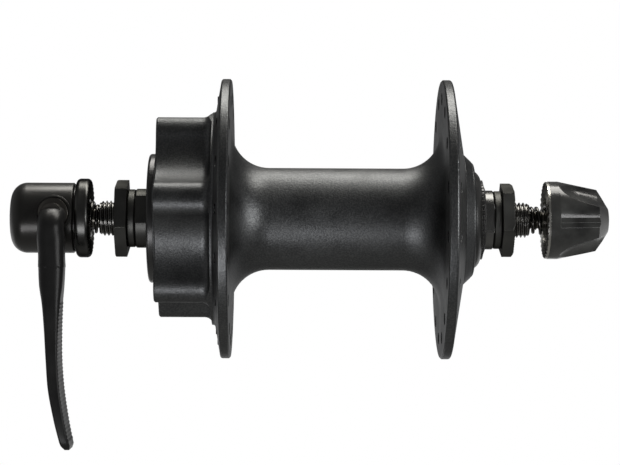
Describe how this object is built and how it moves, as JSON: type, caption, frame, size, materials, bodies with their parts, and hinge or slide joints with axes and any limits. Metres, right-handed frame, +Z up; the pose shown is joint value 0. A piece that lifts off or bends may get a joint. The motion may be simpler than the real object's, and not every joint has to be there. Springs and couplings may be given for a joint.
{
  "type": "bicycle front hub",
  "caption": "Black front hub for a disc brake: spool shell with spoke flanges and bossed disc mount, cup and cone bearings, quick release with cam lever.",
  "frame": {"origin": "on the axle line, midway between the outer faces of the two locknuts", "axes": "+X along the axle from the lever to the adjusting nut, +Z up, -Y towards the side that shows the lever's elbow"},
  "size_m": [0.1509, 0.0704, 0.0924],
  "materials": {
    "shell_anodised": "fine satin black anodised",
    "cap_black": "satin black",
    "cone_steel": "ground and darkened steel",
    "oxide_steel": "black oxide steel",
    "axle_steel": "rolled thread, black oxide",
    "bearing_steel": "polished hardened steel",
    "race_steel": "ground hardened steel",
    "seal_rubber": "moulded rubber",
    "housing_black": "satin black anodised",
    "lever_black": "forged and satin black anodised",
    "ring_steel": "black oxide steel",
    "cam_steel": "hardened steel",
    "bush_plastic": "moulded acetal",
    "rod_steel": "drawn steel, rolled thread",
    "spring_steel": "drawn spring wire",
    "nut_black": "moulded over the insert, semi gloss black",
    "insert_zinc": "zinc plated steel",
    "lock_nylon": "white nylon"
  },
  "bodies": {
    "axle_set": {"axle": "axle_steel", "cone_left": "cone_steel", "cone_right": "cone_steel", "cone_seal_left": "seal_rubber", "cone_seal_right": "seal_rubber", "washer_left": "oxide_steel", "washer_right": "oxide_steel", "locknut_left": "oxide_steel", "locknut_right": "oxide_steel"},
    "shell": {"hub_shell": "shell_anodised", "bearing_cup_left": "race_steel", "bearing_cup_right": "race_steel", "dust_cap_left": "cap_black", "dust_cap_right": "cap_black", "seal_ring_right": "cap_black"},
    "ball_row_left": {"balls_left": "bearing_steel"},
    "ball_row_right": {"balls_right": "bearing_steel"},
    "float_spring": {"spring_left": "spring_steel"},
    "cam_housing": {"lever_housing": "housing_black", "clamp_ring": "ring_steel", "cam_bushes": "bush_plastic"},
    "cam_lever": {"lever": "lever_black", "cam_shaft": "cam_steel", "cam_cap": "oxide_steel"},
    "rod": {"skewer_rod": "rod_steel"},
    "nut_spring": {"spring_right": "spring_steel"},
    "nut": {"adjusting_nut": "nut_black", "nut_insert": "insert_zinc", "lock_ring": "lock_nylon"}
  },
  "joints": [
    {"name": "shell_spin", "type": "hinge", "parent": "axle_set", "child": "shell", "pos_m": [0, 0, 0], "axis": [1, 0, 0], "continuous": true},
    {"name": "left_balls_orbit", "type": "hinge", "parent": "axle_set", "child": "ball_row_left", "pos_m": [-0.0363, 0, 0], "axis": [1, 0, 0], "continuous": true},
    {"name": "right_balls_orbit", "type": "hinge", "parent": "axle_set", "child": "ball_row_right", "pos_m": [0.0363, 0, 0], "axis": [1, 0, 0], "continuous": true},
    {"name": "skewer_float", "type": "slide", "parent": "axle_set", "child": "float_spring", "axis": [1, 0, 0], "range_m": [-0.0015, 0.0015], "stiffness_N_per_m": 800, "deforming": ["spring_left"]},
    {"name": "skewer_turn", "type": "hinge", "parent": "float_spring", "child": "cam_housing", "pos_m": [-0.0651, 0, 0], "axis": [1, 0, 0], "continuous": true},
    {"name": "lever_swing", "type": "hinge", "parent": "cam_housing", "child": "cam_lever", "pos_m": [-0.0651, 0, 0.0012], "axis": [0, 1, 0], "range_deg": [0, 180]},
    {"name": "rod_draw", "type": "slide", "parent": "cam_housing", "child": "rod", "axis": [1, 0, 0], "range_m": [0, 0.0016]},
    {"name": "nut_advance", "type": "slide", "parent": "rod", "child": "nut_spring", "axis": [1, 0, 0], "range_m": [-0.0016, 0.0032], "deforming": ["spring_right"]},
    {"name": "nut_turn", "type": "hinge", "parent": "nut_spring", "child": "nut", "pos_m": [0.066, 0, 0], "axis": [1, 0, 0], "range_deg": [-720, 1440]}
  ],
  "couplings": [
    {"joint": "left_balls_orbit", "follows": "shell_spin", "ratio": 0.60524},
    {"joint": "right_balls_orbit", "follows": "shell_spin", "ratio": 0.60524},
    {"joint": "rod_draw", "follows": "lever_swing", "m_per_rad": 0.0005093},
    {"joint": "nut_advance", "follows": "nut_turn", "m_per_rad": 0.00012732}
  ]
}
